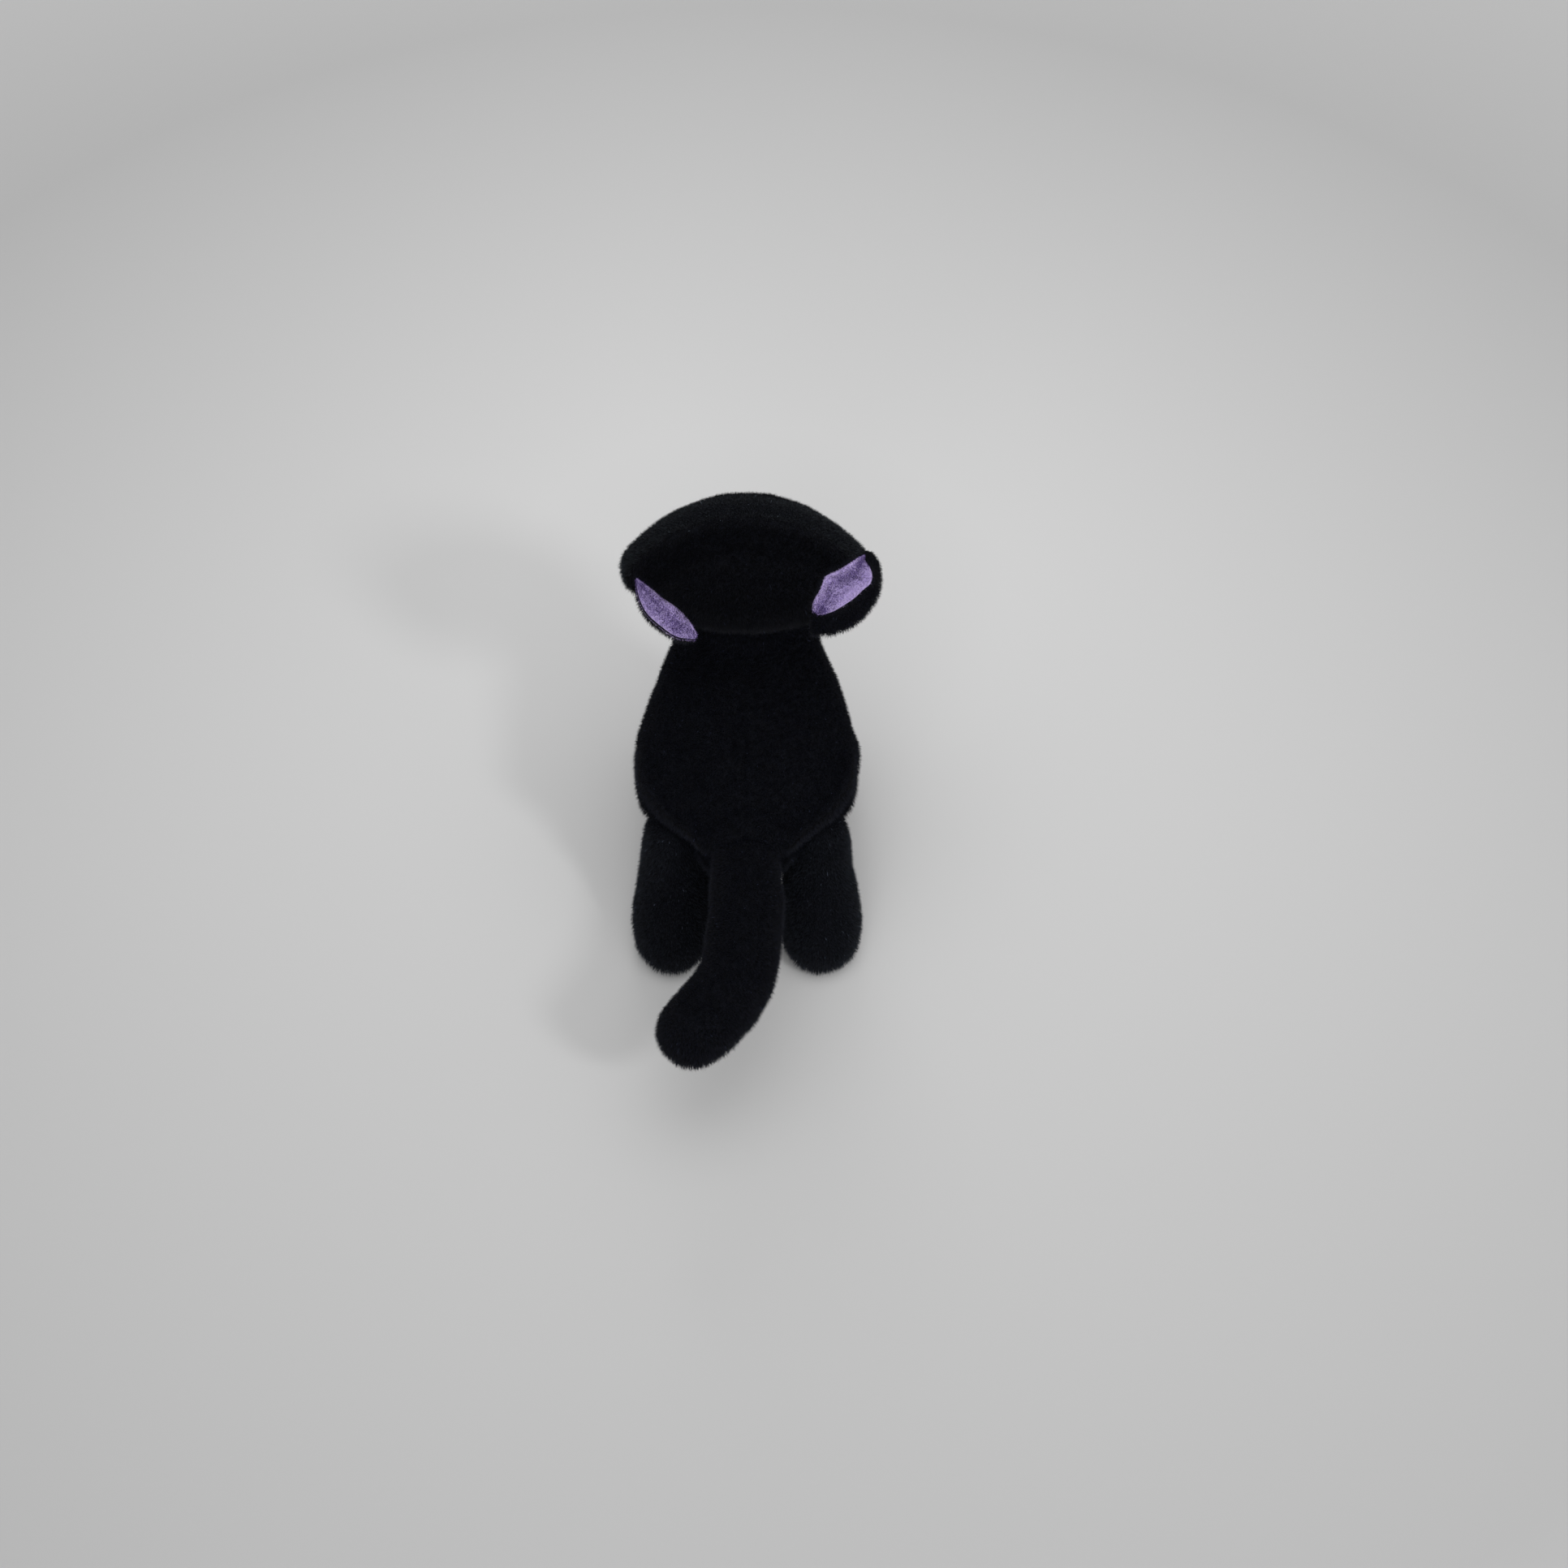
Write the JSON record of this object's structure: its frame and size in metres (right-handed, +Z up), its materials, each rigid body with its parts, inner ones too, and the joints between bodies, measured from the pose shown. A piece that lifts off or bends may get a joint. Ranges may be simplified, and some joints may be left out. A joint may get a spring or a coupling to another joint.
{
  "type": "plush cat",
  "caption": "Standing plush cat with fur panels over fibre stuffing, cupped lined ears, safety eyes and soft jointed neck, ears, legs and tail.",
  "frame": {"origin": "middle of the overall box, on the surface that the cat stands on", "axes": "+Z up, +Y towards the tail, so the cat faces -Y; +X is the cat's left"},
  "size_m": [0.088, 0.174, 0.128],
  "materials": {
    "black_plush": "short black pile, matt with a faint sheen at grazing angles",
    "lavender_plush": "short lavender pile",
    "fibre_fill": "white polyester fibre",
    "eye_plastic": "glossy amber with a black pupil",
    "washer_plastic": "natural white plastic",
    "thread": "lavender satin stitch"
  },
  "bodies": {
    "torso": {"back_panel": "black_plush", "belly_panel": "black_plush", "left_side_panel": "black_plush", "right_side_panel": "black_plush", "body_stuffing": "fibre_fill"},
    "neck": {"neck_cover": "black_plush", "neck_stuffing": "fibre_fill"},
    "head": {"head_back_panel": "black_plush", "forehead_panel": "black_plush", "left_cheek_panel": "black_plush", "right_cheek_panel": "black_plush", "head_stuffing": "fibre_fill", "left_eye": "eye_plastic", "right_eye": "eye_plastic", "left_eye_washer": "washer_plastic", "right_eye_washer": "washer_plastic", "nose": "thread", "mouth_stitching": "thread"},
    "left_ear": {"left_ear_back": "black_plush", "left_ear_lining": "lavender_plush"},
    "right_ear": {"right_ear_back": "black_plush", "right_ear_lining": "lavender_plush"},
    "front_left_leg": {"front_left_leg_cover": "black_plush", "front_left_leg_stuffing": "fibre_fill", "front_left_leg_sole": "black_plush"},
    "front_right_leg": {"front_right_leg_cover": "black_plush", "front_right_leg_stuffing": "fibre_fill", "front_right_leg_sole": "black_plush"},
    "hind_left_leg": {"hind_left_leg_cover": "black_plush", "hind_left_leg_stuffing": "fibre_fill", "hind_left_leg_sole": "black_plush"},
    "hind_right_leg": {"hind_right_leg_cover": "black_plush", "hind_right_leg_stuffing": "fibre_fill", "hind_right_leg_sole": "black_plush"},
    "tail_base": {"tail_base_cover": "black_plush", "tail_base_stuffing": "fibre_fill"},
    "tail_tip": {"tail_tip_cover": "black_plush", "tail_tip_stuffing": "fibre_fill"}
  },
  "joints": [
    {"name": "neck_turn", "type": "hinge", "parent": "torso", "child": "neck", "pos_m": [0.00018, -0.06775, 0.08], "axis": [0, -0.342, 0.9397], "range_deg": [-30, 30], "stiffness_Nm_per_rad": 0.03},
    {"name": "head_nod", "type": "hinge", "parent": "neck", "child": "head", "pos_m": [0.00018, -0.06775, 0.08], "axis": [1, 0, 0], "range_deg": [-12, 15], "stiffness_Nm_per_rad": 0.08},
    {"name": "left_ear_fold", "type": "hinge", "parent": "head", "child": "left_ear", "pos_m": [0.02843, -0.04875, 0.105], "axis": [0.7321, -0.5668, 0.3779], "range_deg": [-20, 20], "stiffness_Nm_per_rad": 0.003},
    {"name": "right_ear_fold", "type": "hinge", "parent": "head", "child": "right_ear", "pos_m": [-0.02807, -0.04875, 0.105], "axis": [0.7321, 0.5668, -0.3779], "range_deg": [-20, 20], "stiffness_Nm_per_rad": 0.003},
    {"name": "front_left_hip", "type": "hinge", "parent": "torso", "child": "front_left_leg", "pos_m": [0.02218, -0.05675, 0.03], "axis": [1, 0, 0], "range_deg": [-20, 20], "stiffness_Nm_per_rad": 0.08},
    {"name": "front_right_hip", "type": "hinge", "parent": "torso", "child": "front_right_leg", "pos_m": [-0.02182, -0.05675, 0.03], "axis": [1, 0, 0], "range_deg": [-20, 20], "stiffness_Nm_per_rad": 0.08},
    {"name": "hind_left_hip", "type": "hinge", "parent": "torso", "child": "hind_left_leg", "pos_m": [0.02418, -0.00575, 0.0295], "axis": [1, 0, 0], "range_deg": [-20, 20], "stiffness_Nm_per_rad": 0.08},
    {"name": "hind_right_hip", "type": "hinge", "parent": "torso", "child": "hind_right_leg", "pos_m": [-0.02382, -0.00575, 0.0295], "axis": [1, 0, 0], "range_deg": [-20, 20], "stiffness_Nm_per_rad": 0.08},
    {"name": "tail_swing", "type": "hinge", "parent": "torso", "child": "tail_base", "pos_m": [0.00018, 0.01425, 0.039], "axis": [0, 0, 1], "range_deg": [-25, 25], "stiffness_Nm_per_rad": 0.02},
    {"name": "tail_bend", "type": "hinge", "parent": "tail_base", "child": "tail_tip", "pos_m": [-0.00032, 0.04425, 0.0385], "axis": [0, 0, 1], "range_deg": [-25, 25], "stiffness_Nm_per_rad": 0.01}
  ]
}
